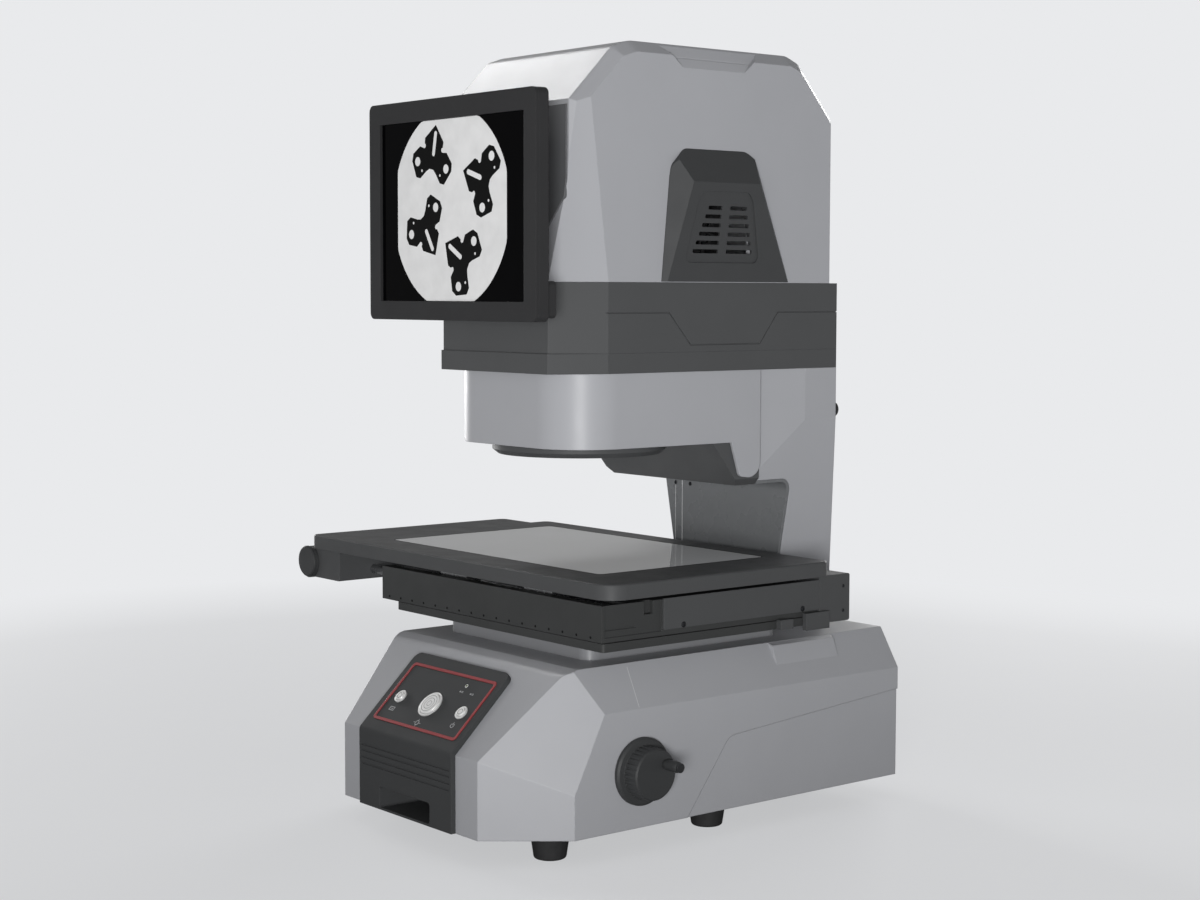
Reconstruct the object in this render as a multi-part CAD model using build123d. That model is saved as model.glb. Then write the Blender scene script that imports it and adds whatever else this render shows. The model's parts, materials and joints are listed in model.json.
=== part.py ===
from build123d import *
import os
from math import atan2, cos, pi, sin

# Bench-top vision measuring machine: base with handwheel lift, cross-travel stage, column and head.
# All sizes are millimetres. Inside the functions x runs to the machine's right, y to its rear from
# the base's front face and z up from the bench. Every piece is written about the middle of the
# machine's outline on the bench.

# Clearances
gap = 0.4
running = 0.05
button_gap = 0.3

# Base body
foot_height = 20.0
foot_radius = 16.5
base_half = 150.0
base_length = 443.0
axis_y = base_length - 258.0
deck_height = 155.7
base_wall = 5.0
nose_half = base_half - 49.6
corner_run = 61.8
nose_top = 85.2
slope_run = 69.0
slope_top = deck_height - 4.1
deck_half = base_half - 22.2
side_chamfer_low = deck_height - 35.2
deck_round = 14.0
facet_low = 57.0
facet_side = 93.0
panel_foot_y = axis_y - 0.5
panel_bend_y = panel_foot_y + 48.0
panel_bend_z = 84.2
panel_rear_z = 100.5
ledge_front = base_length - 145.0
ledge_rear = base_length - 68.0
ledge_share = 0.47

# Front fascia
fascia_half = 69.5
fascia_proud = 4.5
fascia_run = 84.0
fascia_round = 8.0
groove_heights = (72.0, 67.0, 61.0, 55.5)
groove_width = 1.4
groove_half = 67.0
pocket_half = 38.0
pocket_low = 22.0
pocket_high = 40.0
pocket_depth = 46.0
pocket_wall = 2.0
border_half = 62.0
border_low = 10.0
border_high = 73.0
border_line = 2.7
border_proud = 0.5
button_row = 36.7
button_pitch = 45.6
small_button = 6.25
large_button = 12.5
button_ring = 1.6

# Handwheel and lift drive
wheel_y = axis_y - 53.0
wheel_z = 68.0
wheel_flange = 28.7
wheel_face = 20.5
wheel_depth = 20.0
flute_count = 30
shaft_radius = 5.0
crank_offset_y = 9.6
crank_offset_z = 8.0
crank_radius = 4.7
crank_pin_radius = 2.4
crank_length = 19.5
gear_teeth = 16
gear_pitch_radius = 12.0
gear_face = 5.0
gear_addendum = 1.3
gear_dedendum = 1.9
screw_radius = 6.0
lift_travel = 60.0
lift_plate_low = 86.0
lift_plate_thick = 12.0
column_rod_radius = 8.0
bearing_places = (20.0, base_half - 28.0)

# Plinth and stage
plinth_half = 102.7
plinth_front = axis_y - 72.0
plinth_rear = base_length - 108.0
plinth_wall = 6.0
plinth_round = 12.0
stage_low = deck_height + 16.1
stage_half = 151.4
stage_front = axis_y - 95.3
stage_rear = base_length - 105.0
stage_base_thick = 7.2
carriage_top = stage_low + 38.2
carriage_left = -176.0
carriage_right = 150.0
carriage_roof = 12.0
carriage_wall = 8.0
plate_low = carriage_top + 4.5
plate_top = plate_low + 13.3
plate_left = -303.7
plate_right = 158.1
plate_rear = stage_rear + 8.5
plate_jog_x = plate_left + 47.7
plate_jog_y = stage_rear - 13.0
glass_left = -217.5
glass_right = 100.0
glass_front = stage_front + 38.3
glass_rear = stage_rear - 18.0
glass_thick = 8.0
glass_ledge = 6.0
light_radius = 40.0
y_travel = 100.0
x_travel = 75.0
y_rail_x = 105.0
rail_width = 12.0
y_rail_height = 10.0
y_screw_x = 131.0
y_post = stage_rear - y_travel - 46.0
x_screw_y = stage_front + 42.3
feed_screw_radius = 4.5
x_motor_x = plate_left - 5.3
x_motor_z = carriage_top - 9.0
x_motor_radius = 16.3
x_motor_front = stage_front - 2.7
x_rail_front = stage_front + 18.3
x_rail_rear = stage_rear - 9.0
x_block_half = 8.0
side_cover_front = stage_rear - 183.0
rod_places = [(x, y) for x in (-76.0, 76.0) for y in (axis_y - 23.0, stage_rear - 28.0)]

# Column
column_front = base_length - 81.2
column_rear = base_length - 32.0
column_half = 98.0
column_taper_top = 350.0
column_taper = 0.194
column_foot_rear = base_length - 2.0
column_lean_low = 207.0
column_lean_rear = base_length - 10.0
column_wall = 4.0
throat_top = 296.0
throat_skin = 3.0
housing_joint = base_length - 122.4
throat_bend = 9.0
cheek_half = column_half - 7.4
core_half = 46.0
core_front = column_front + 12.2
core_rear = column_rear - 10.0
cheek_front = housing_joint + 6.9
cheek_rear = column_front + 9.7
plug_places = (column_half - 36.0, column_half - 14.0)
plug_z = column_taper_top + 7.5
plug_proud = 11.0

# Lens housing and optics
housing_half = 94.4
housing_front = axis_y - 82.3
housing_rear = housing_joint - 1.8
housing_round = 48.5
housing_low = 332.6
housing_wall = 3.0
skirt_start = housing_rear - 34.8
skirt_low = 301.6
skirt_y = housing_rear - 24.8
ring_radius = 77.7
ring_low = 323.0
ring_bore = 60.0
barrel_radius = 43.0

# Head
band_low = 397.1
band_step = 414.3
band_high = 474.6
lower_band_front = axis_y - 95.5
lower_band_nose = 77.6
upper_band_front = axis_y - 94.1
upper_band_nose = 76.2
band_chamfer_rear = axis_y - 46.5
band_wall = 5.0
head_high = 678.7
head_front = axis_y - 81.5
head_bevel = 10.0
head_wall = 4.0
flare_top = 560.0
hood_foot = 475.2
hood_shoulder = 561.0
hood_high = 590.0
hood_foot_depth = 4.0
hood_depth = 16.0
slat_count = 6
slat_height = 3.4
slat_pitch = 7.6

# Monitor
monitor_front = head_front - 60.0
monitor_half = 122.0
monitor_low = 441.7
monitor_high = 630.4
monitor_thick = 13.0
bezel_thick = 3.0
screen_half = 105.6
screen_low = 458.0
screen_high = 612.5
bar_high = 475.0
bar_depth = 10.0

slope_angle = atan2(slope_top - nose_top, slope_run)
slope = Plane(origin=(0, 0, nose_top), x_dir=(1, 0, 0), z_dir=(0, -sin(slope_angle), cos(slope_angle)))
crank_end = base_half + wheel_depth + crank_length
centre_x = (x_motor_x - x_motor_radius + crank_end) / 2
centre_y = (base_length - fascia_proud) / 2
deck_under = deck_height - base_wall
screw_z = carriage_top - carriage_roof - 2.5


def outline(points, rounds=()):
    """Closed face through points, with (index, radius) for each rounded corner."""
    face = Face(Wire.make_polygon([Vector(*p) for p in points], close=True))
    if face.normal_at().Z < 0:
        face = -face
    for index, radius in rounds:
        corner = face.vertices().sort_by_distance(Vector(*points[index]))[0]
        face = face.fillet_2d(radius, [corner])
    return face


def rect(a0, a1, b0, b1, radius=0.0):
    """Rectangle between two corners, with all its corners rounded."""
    face = outline(((a0, b0), (a1, b0), (a1, b1), (a0, b1)))
    return face.fillet_2d(radius, face.vertices()) if radius else face


def disc(a, b, radius):
    return Pos(a, b) * Circle(radius)


def along_x(face, x0, x1):
    """Prism of a (y, z) face."""
    return Pos(x0, 0, 0) * extrude(Plane.YZ * face, x1 - x0)


def along_y(face, y0, y1):
    """Prism of an (x, z) face."""
    return Pos(0, y1, 0) * extrude(Plane.XZ * face, y1 - y0)


def along_z(face, z0, z1):
    """Prism of an (x, y) face."""
    return Pos(0, 0, z0) * extrude(face, z1 - z0)


def block(x0, x1, y0, y1, z0, z1):
    return along_z(rect(x0, x1, y0, y1), z0, z1)


def trim(solid, a, b, c, inside):
    """The part of a solid on the inner side of the plane through three points."""
    a, b, c, inside = (Vector(*p) for p in (a, b, c, inside))
    normal = (b - a).cross(c - a)
    if normal.dot(inside - a) < 0:
        normal = -normal
    return split(solid, bisect_by=Plane(origin=a, z_dir=normal), keep=Keep.TOP)


def both_sides(cut, solid):
    """Apply a cut of the right side to both sides."""
    return mirror(cut(mirror(cut(solid), about=Plane.YZ)), about=Plane.YZ)


def save(name, *pieces):
    moved = [Pos(-centre_x, -centre_y, 0) * piece for piece in pieces]
    export_step(moved[0] if len(moved) == 1 else Compound(children=moved), f"parts/{name}.step")


def base_form(inset):
    """Faceted base body, drawn in by inset on every face but the bottom."""
    half = base_half - inset
    top = deck_height - inset
    chamfer = inset * 0.45
    side = outline(
        (
            (inset, foot_height),
            (inset, nose_top - inset * 0.4255),
            (slope_run + inset * 0.35, slope_top - inset),
            (slope_run + 13.0, top),
            (base_length - inset, top),
            (base_length - inset, foot_height),
        ),
        ((2, deck_round),),
    )
    front = outline(
        (
            (-half, foot_height),
            (half, foot_height),
            (half, side_chamfer_low - chamfer),
            (deck_half - chamfer, top),
            (chamfer - deck_half, top),
            (-half, side_chamfer_low - chamfer),
        )
    )
    body = along_x(side, -half, half) & along_y(front, 0, base_length)

    def corner(solid):
        shift = inset * 0.9
        nose = (nose_half - shift * 0.7, inset * 0.3)
        bend = (base_half - shift, corner_run + inset * 0.5)
        solid = trim(solid, (*nose, 0), (*nose, 50), (*bend, 0), (0, 200, 50))
        low = (base_half - shift, corner_run + inset * 0.5, facet_low)
        high = (base_half - shift, facet_side + inset * 0.5, side_chamfer_low - chamfer)
        return trim(solid, (*nose, nose_top - inset * 0.4), low, high, (0, 200, 50))

    return both_sides(corner, body)


def side_panel_outline(inset):
    """Lower side region behind the handwheel, in (y, z)."""
    rear = base_length - inset * 1.4
    points = (
        (panel_foot_y + inset * 1.5, foot_height),
        (panel_bend_y + inset * 0.7, panel_bend_z - inset),
        (rear, panel_rear_z - inset),
        (rear, foot_height),
    )
    return outline(points, ((1, 14),))


def in_slope(solid):
    """Put a solid drawn in (x, distance up the slope, height above it) on the slope."""
    return slope.location * solid


def make_base():
    panel_depth = 3.2
    panel_step = 1.0
    cover = base_form(0) - base_form(base_wall)
    lift_hole = rect(
        -plinth_half - gap, plinth_half + gap, plinth_front - gap, plinth_rear + gap, plinth_round + gap
    )
    cover -= along_z(lift_hole, deck_under - 20, deck_height + 1)
    cover -= block(-core_half - gap, core_half + gap, core_front - gap, core_rear + gap,
                   deck_under - 20, deck_height + 1)
    cover -= in_slope(block(-58, 58, 14, 70, -base_wall * 2, 1))
    cover -= block(
        -pocket_half - pocket_wall, pocket_half + pocket_wall, -1, base_wall + 1,
        foot_height, pocket_high + pocket_wall,
    )
    for side in (-1, 1):
        recess = along_x(side_panel_outline(0), base_half - panel_depth, base_half + 1)
        window = along_x(side_panel_outline(9), base_half - base_wall - 1, base_half)
        window &= block(0, 200, 0, base_length, foot_height + 8, 200)
        cut = recess + window
        cover -= cut if side > 0 else mirror(cut, about=Plane.YZ)
    panel = along_x(side_panel_outline(gap), base_half - panel_depth, base_half - panel_step)
    save("side_panels", panel, mirror(panel, about=Plane.YZ))
    cover -= along_x(disc(wheel_y, wheel_z, shaft_radius + 1), base_half - 10, base_half + 1)
    inlet = rect(-112, -62, 46, 78, 3)
    ports = [rect(x, x + 16, 55, 69, 1.5) for x in (50, 74, 98)]
    cover -= along_y(inlet, base_length - base_wall - 1, base_length + 1)
    for port in ports:
        cover -= along_y(port, base_length - base_wall - 1, base_length + 1)
    run = base_half - deck_half
    rise = deck_height - side_chamfer_low
    low = (base_half - ledge_share * run, side_chamfer_low + ledge_share * rise)
    ledge = along_y(outline((low, (deck_half + 5.7, deck_height - 2.3), (deck_half - 0.8, deck_height),
                             (deck_half - 1.7, deck_height - 1.1), (low[0] - 1.7, low[1] - 1.1))),
                    ledge_front, ledge_rear)
    cover += ledge
    cover += mirror(ledge, about=Plane.YZ)
    save("base_cover", cover)

    frame = base_form(base_wall + gap) & block(-200, 200, 0, 500, foot_height, foot_height + 12)
    tray_half = pocket_half + pocket_wall + gap
    frame -= block(-tray_half, tray_half, -1, pocket_depth + pocket_wall + gap, 0, foot_height + 20)
    floor_top = foot_height + 12
    for x, y in rod_places:
        frame += along_z(disc(x, y, column_rod_radius + 7), floor_top, floor_top + 18)
        frame -= along_z(disc(x, y, column_rod_radius), floor_top - 6, floor_top + 19)
    for x in bearing_places:
        post = block(x, x + 12, wheel_y - 15, wheel_y + 15, floor_top, lift_plate_low - 3)
        frame += post - along_x(disc(wheel_y, wheel_z, 11), x - 1, x + 13)
    frame += along_z(disc(0, wheel_y, 18), floor_top, 42)
    frame -= along_z(disc(0, wheel_y, 13), 34, 43)
    for x in (-core_half - 12.2, core_half + 0.2):
        frame += block(x, x + 12, core_front - 8, core_rear + 7, floor_top, deck_under - 0.7)
    save("base_frame", frame)

    rods = [along_z(disc(x, y, column_rod_radius), floor_top - 6, stage_low - 7.8) for x, y in rod_places]
    save("guide_columns", *[chamfer(rod.edges().sort_by(Axis.Z)[-1], 1) for rod in rods])
    bearings = [
        along_x(disc(wheel_y, wheel_z, 11) - disc(wheel_y, wheel_z, shaft_radius + running), x, x + 12)
        for x in bearing_places
    ]
    bearings.append(along_z(disc(0, wheel_y, 13) - disc(0, wheel_y, screw_radius + running), 34, 42))
    save("drive_bearings", *bearings)

    feet = []
    wide = base_half - 32
    for x, y in ((wide, 61), (wide, base_length - 208), (wide - 50, base_length - 45)):
        profile = outline(((0, 0), (foot_radius - 3, 0), (foot_radius, foot_height), (0, foot_height)),
                          ((1, 2.5),))
        foot = revolve(Plane.XZ * profile, Axis.Z)
        feet += [Pos(-x, y, 0) * foot, Pos(x, y, 0) * foot]
    save("rubber_feet", *feet)

    socket = along_y(rect(-112 + 0.2, -62 - 0.2, 46.2, 77.8, 2.8), base_length - 14, base_length - 0.5)
    socket -= along_y(rect(-108, -88, 55, 69, 3), base_length - 11, base_length)
    pins = [along_y(rect(x, x + 1.6, 60, 64), base_length - 11, base_length - 3) for x in (-104, -98.8, -93)]
    for pin in pins:
        socket += pin
    socket -= along_y(rect(-82, -67, 52, 72), base_length - 10, base_length)
    save("power_inlet", socket)
    rocker = outline(((base_length - 9, 62), (base_length - 2.5, 53), (base_length - 4.5, 62),
                      (base_length - 2.5, 71)))
    save("mains_switch", along_x(rocker, -81.4, -67.6))
    sockets = []
    for x in (50, 74, 98):
        shell = along_y(rect(x + 0.2, x + 15.8, 55.2, 68.8, 1.3), base_length - 14, base_length - 0.5)
        sockets.append(shell - along_y(rect(x + 2.2, x + 13.8, 58, 66), base_length - 12, base_length))
    for x in plug_places:
        ring = along_y(disc(x, plug_z, 7), column_rear - 8, column_rear + plug_proud)
        sockets.append(ring - along_y(disc(x, plug_z, 4.5), column_rear - 3, column_rear + plug_proud + 1))
    save("rear_sockets", *sockets)


def make_fascia():
    corner = (-fascia_proud, nose_top + fascia_proud * cos(slope_angle) / (1 + sin(slope_angle)))
    along = Vector(cos(slope_angle), sin(slope_angle))
    out = Vector(-sin(slope_angle), cos(slope_angle))
    start = Vector(0, nose_top)
    end = start + along * fascia_run
    tip = end + out * fascia_proud
    profile = outline(
        (
            (0, foot_height),
            (-fascia_proud, foot_height),
            corner,
            (tip.X, tip.Y),
            (end.X, end.Y),
            (0, nose_top),
        ),
        ((2, 5.0),),
    )
    body = along_x(profile, -fascia_half, fascia_half)
    across = Vector(0, -sin(slope_angle), cos(slope_angle))
    top_corners = [e for e in body.edges() if e.length < fascia_proud * 1.2
                   and abs(e.tangent_at(0.5).dot(across)) > 0.99]
    body = fillet(top_corners, fascia_round)
    tray = block(-pocket_half - pocket_wall, pocket_half + pocket_wall, -0.5, pocket_depth + pocket_wall,
                 foot_height, pocket_high + pocket_wall)
    body += tray
    body -= along_y(rect(-pocket_half, pocket_half, pocket_low, pocket_high, 3),
                    -fascia_proud - 1, pocket_depth)
    for z in groove_heights:
        body -= block(-groove_half, groove_half, -fascia_proud - 1, -fascia_proud + 1, z, z + groove_width)
    border = rect(-border_half, border_half, border_low, border_high, 4)
    border -= rect(-border_half + border_line, border_half - border_line,
                   border_low + border_line, border_high - border_line, 2)
    top = fascia_proud
    body -= in_slope(along_z(border, top - 0.6, top + 1))
    save("control_border", in_slope(along_z(border, top - 0.6, top + border_proud)))

    places = ((-button_pitch, small_button), (0.0, large_button), (button_pitch, small_button))
    names = ("button_left", "button_center", "button_right")
    rings = []
    for name, (x, radius) in zip(names, places):
        body -= in_slope(along_z(disc(x, button_row, radius), -1, top + 1))
        cap_radius = radius - button_ring - button_gap
        ring = disc(x, button_row, radius) - disc(x, button_row, radius - button_ring)
        rings.append(in_slope(along_z(ring, 0, top + 1.2)))
        cap = along_z(disc(x, button_row, cap_radius), -2, top + 2.2)
        cap = chamfer(cap.edges().sort_by(Axis.Z)[-1], 0.6)
        save(name, in_slope(cap + along_z(disc(x, button_row, radius - 0.5), -3.4, -0.4)))
    save("front_fascia", body)
    save("button_rings", *rings)


def bevel_gear(bore, hub):
    """Straight bevel gear on +X, apex at the origin, with a tooth centred towards -Z."""
    root = 2 ** -0.5
    shrink = 1 - gear_face / (gear_pitch_radius / root)
    big = (gear_pitch_radius + gear_dedendum * root, gear_pitch_radius - gear_dedendum * root)
    small = (big[0] * shrink, big[1] * shrink)
    blank = outline(((small[0], bore), small, big, (big[0] + 2.5, big[1]), (big[0] + 2.5, hub),
                     (big[0] + 6, hub), (big[0] + 6, bore)))
    gear = revolve(Plane.XY * blank, Axis.X)
    width = pi * gear_pitch_radius / gear_teeth
    profile = ((-width * 0.62, gear_dedendum + 0.5), (width * 0.62, gear_dedendum + 0.5),
               (width * 0.2, -gear_addendum), (-width * 0.2, -gear_addendum))
    face_dir = Vector(1, 0, -1)
    sections = []
    for scale in (1.0, shrink):
        place = Plane(origin=(gear_pitch_radius * scale, 0, -gear_pitch_radius * scale),
                      x_dir=(0, 1, 0), z_dir=face_dir)
        sections.append(place * outline([(a * scale, b * scale) for a, b in profile]))
    tooth = loft(sections)
    for n in range(gear_teeth):
        gear += Rot(n * 360 / gear_teeth, 0, 0) * tooth
    return gear


def make_drive():
    wheel_back = base_half + 0.5
    front = base_half + wheel_depth
    shaft_end = front - 6.0
    profile = outline(
        (
            (wheel_back, shaft_radius),
            (wheel_back, wheel_flange),
            (wheel_back + 3.0, wheel_flange),
            (wheel_back + 4.4, wheel_flange - 1.8),
            (wheel_back + 5.0, wheel_face + 2.3),
            (front - 1.4, wheel_face + 1.2),
            (front, wheel_face),
            (front, 0),
            (shaft_end, 0),
            (shaft_end, shaft_radius),
        )
    )
    wheel = revolve(Plane.XY * profile, Axis.X)
    flute = cylinder_between(wheel_face + 2.4, 1.35, wheel_back + 5.4, front + 1)
    for n in range(flute_count):
        wheel -= Rot(n * 360 / flute_count, 0, 0) * flute
    wheel -= along_x(disc(crank_offset_y, crank_offset_z, crank_pin_radius), front - 8, front + 1)
    wheel = Pos(0, wheel_y, wheel_z) * wheel
    save("handwheel", wheel)
    shaft = along_x(disc(wheel_y, wheel_z, shaft_radius), gear_pitch_radius - 2, shaft_end)
    gear = Pos(0, wheel_y, wheel_z) * bevel_gear(shaft_radius - 1, shaft_radius + 3)
    save("handwheel_shaft", shaft + gear)
    crank_y = wheel_y + crank_offset_y
    crank_z = wheel_z + crank_offset_z
    pin = along_x(disc(crank_y, crank_z, crank_pin_radius), front - 8, crank_end - 1.5)
    pin += along_x(disc(crank_y, crank_z, crank_radius - 0.6), crank_end - 1.5, crank_end)
    save("crank_pin", pin)
    grip = outline(((front + 0.3, crank_pin_radius + running), (front + 0.3, crank_radius - 0.8),
                    (front + 3, crank_radius - 0.2), (crank_end - 4, crank_radius),
                    (crank_end - 1.8, crank_radius - 0.5), (crank_end - 1.8, crank_pin_radius + running)))
    save("crank_grip", Pos(0, crank_y, crank_z) * revolve(Plane.XY * grip, Axis.X))
    screw = along_z(disc(0, wheel_y, screw_radius), 34, lift_plate_low + lift_travel + 14)
    screw = chamfer(screw.edges().sort_by(Axis.Z)[-1], 1)
    turned = Rot(0, 90, 0) * (Rot(180 / gear_teeth, 0, 0) * bevel_gear(screw_radius - 1, screw_radius + 3))
    save("lift_screw", screw + Pos(0, wheel_y, wheel_z) * turned)


def cylinder_between(offset, radius, x0, x1):
    """Cylinder along X, its axis at the given height."""
    return along_x(disc(0, offset, radius), x0, x1)


def make_lift():
    top = stage_low
    bottom = lift_plate_low
    outer = rect(-plinth_half, plinth_half, plinth_front, plinth_rear, plinth_round)
    inner = rect(-plinth_half + plinth_wall, plinth_half - plinth_wall, plinth_front + plinth_wall,
                 plinth_rear - plinth_wall, plinth_round - plinth_wall / 2)
    plinth = along_z(outer, bottom, top) - along_z(inner, bottom - 1, top - plinth_wall)
    plinth -= along_z(disc(0, axis_y, light_radius + 2), top - plinth_wall - 1, top + 1)
    plate = along_z(inner, bottom, bottom + lift_plate_thick)
    for x, y in rod_places:
        plate -= along_z(disc(x, y, column_rod_radius + 5), bottom - 1, bottom + 20)
    plate -= along_z(disc(0, wheel_y, screw_radius + 4.5), bottom - 1, bottom + 20)
    plate -= block(-50, 50, stage_rear - 88, stage_rear - 38, bottom - 1, bottom + 20)
    save("plinth", plinth + plate)
    bushes = []
    for x, y in rod_places:
        sleeve = disc(x, y, column_rod_radius + 5) - disc(x, y, column_rod_radius + running)
        flange = disc(x, y, column_rod_radius + 9) - disc(x, y, column_rod_radius + running)
        bushes.append(along_z(sleeve, bottom, bottom + 26)
                      + along_z(flange, bottom + lift_plate_thick, bottom + lift_plate_thick + 4))
    nut = disc(0, wheel_y, screw_radius + 4.5) - disc(0, wheel_y, screw_radius + running)
    collar = disc(0, wheel_y, screw_radius + 6.5) - disc(0, wheel_y, screw_radius + running)
    bushes.append(along_z(nut, bottom, bottom + 14) + along_z(collar, bottom + 12, bottom + 17))
    save("lift_bushes", *bushes)
    cup = revolve(Plane.XZ * outline(((0, 118), (30, 118), (light_radius + 2, 134),
                                      (light_radius + 2, top - 1), (light_radius - 1, top - 1),
                                      (light_radius - 1, 136), (28, 122), (0, 122))), Axis.Z)
    save("backlight_housing", Pos(0, axis_y, 0) * cup)
    save("backlight_diffuser", along_z(disc(0, axis_y, light_radius - 1), top - 6, top - 0.6))


def make_stage_base():
    low = stage_low
    top = low + stage_base_thick
    base = along_z(rect(-stage_half, stage_half, stage_front, stage_rear, 3), low, top)
    base -= along_z(disc(0, axis_y, light_radius), low - 1, top + 1)
    for x in (-70, 50):
        base -= along_z(rect(x, x + 20, axis_y - 45, stage_rear - 38, 6), low - 1, top + 1)
    support = block(y_screw_x - 8, y_screw_x + 8, y_post, y_post + 12, top, screw_z + 1.2)
    base += support
    base -= along_y(disc(y_screw_x, screw_z, feed_screw_radius + running), y_post - 1, y_post + 13)
    save("stage_base", base)
    rails = []
    for x in (-y_rail_x, y_rail_x):
        rail = block(x - rail_width / 2, x + rail_width / 2, stage_front + carriage_wall + 1.3,
                     stage_rear - 5, top, top + y_rail_height)
        for side in (-1, 1):
            groove = block(x + side * rail_width / 2 - 1.5, x + side * rail_width / 2 + 1.5,
                           stage_front, stage_rear, top + 4, top + 7)
            rail -= groove
        rails.append(rail)
    save("y_rails", *rails)
    house = along_x(rect(stage_rear, stage_rear + 38, low - 0.2, plate_low - gap, 2), 116, 152)
    house -= along_y(disc(y_screw_x, screw_z, feed_screw_radius + running), stage_rear - 1, stage_rear + 16)
    limit = along_x(rect(stage_rear - 52.4, stage_rear - 37.3, low, low + 8.5, 1), stage_half, stage_half + 6)
    socket = block(stage_half + 0.2, stage_half + 5, stage_rear - 20.4, stage_rear + 8.5, low - 4, low + 11.2)
    save("y_drive_housing", house + socket, limit)
    screw = along_y(disc(y_screw_x, screw_z, feed_screw_radius), y_post, stage_rear + 14)
    save("y_lead_screw", screw)


def make_carriage():
    low = stage_low + stage_base_thick + gap
    top = carriage_top
    roof = top - carriage_roof
    rear = stage_rear - gap
    body = block(carriage_left, carriage_right, stage_front, rear, low, top)
    body -= block(carriage_left + carriage_wall, carriage_right - carriage_wall,
                  stage_front + carriage_wall, rear - carriage_wall, low - 1, roof)
    for x in (-y_rail_x, y_rail_x):
        body -= block(x - 15, x + 15, rear - carriage_wall - 1, rear + 1, low - 1, roof)
    body -= block(-46, 46, axis_y - 42, stage_rear - 16, roof - 1, top + 1)
    body -= block(-135, -60, axis_y - 30, stage_rear - 38, roof - 1, top + 1)
    body -= along_y(disc(y_screw_x, screw_z, feed_screw_radius + 1.5), y_post - 2, rear + 1)
    body -= along_x(disc(x_screw_y, screw_z, feed_screw_radius + 1.5), carriage_left - 1, 30)
    channel = x_block_half + 1
    for y in (x_rail_front, x_rail_rear):
        body -= block(carriage_left + 4, carriage_right - 3, y - channel, y + channel, top - 8, top + 1)
    recess = carriage_right - 1.2
    body -= block(recess, carriage_right + 1, stage_front + 3, side_cover_front - 0.5, low + 4, top + 1)
    body -= block(recess - 1.2, carriage_right, stage_front + 3, stage_front + 37, top - 21, top - 19.5)
    body -= block(carriage_right - 6, carriage_right + 1, side_cover_front - 19, side_cover_front - 9.5,
                  top - 11, top + 1)
    nut_top = top - 8.1
    x_nut_box = block(carriage_left, carriage_left + 20, x_screw_y - 9, x_screw_y + 9, screw_z - 8, nut_top)
    y_nut_box = block(y_screw_x - 9, y_screw_x + 9, rear - 20, rear - 1, screw_z - 8, nut_top)
    body -= x_nut_box
    body -= y_nut_box
    save("stage_carriage", body)
    x_bore = along_x(disc(x_screw_y, screw_z, feed_screw_radius + running), carriage_left - 1, -100)
    y_bore = along_y(disc(y_screw_x, screw_z, feed_screw_radius + running), rear - 30, rear + 1)
    save("feed_nuts", x_nut_box - x_bore, y_nut_box - y_bore)

    blocks = []
    rail_top = stage_low + stage_base_thick + y_rail_height
    for x in (-y_rail_x, y_rail_x):
        for y in (stage_rear - 138, stage_rear - 58):
            piece = block(x - 14, x + 14, y, y + 40, rail_top - 8, roof)
            slot = block(x - rail_width / 2 - 0.3, x + rail_width / 2 + 0.3, y - 1, y + 41,
                         rail_top - 9, rail_top + 0.3)
            blocks.append(piece - slot)
    save("y_bearing_blocks", *blocks)
    rails = []
    for y in (x_rail_front, x_rail_rear):
        rails.append(block(carriage_left + 6, carriage_right - 5, y - 4, y + 4, top - 8, top - 1))
    save("x_rails", *rails)
    cover = along_x(rect(side_cover_front, rear, top - 25.6, top + 1, 1), carriage_right, carriage_right + 2)
    for y in (side_cover_front + 22, rear - 21):
        cover -= along_x(disc(y, top - 23, 1.6), carriage_right + 0.8, carriage_right + 3)
    save("stage_side_cover", cover)


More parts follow.
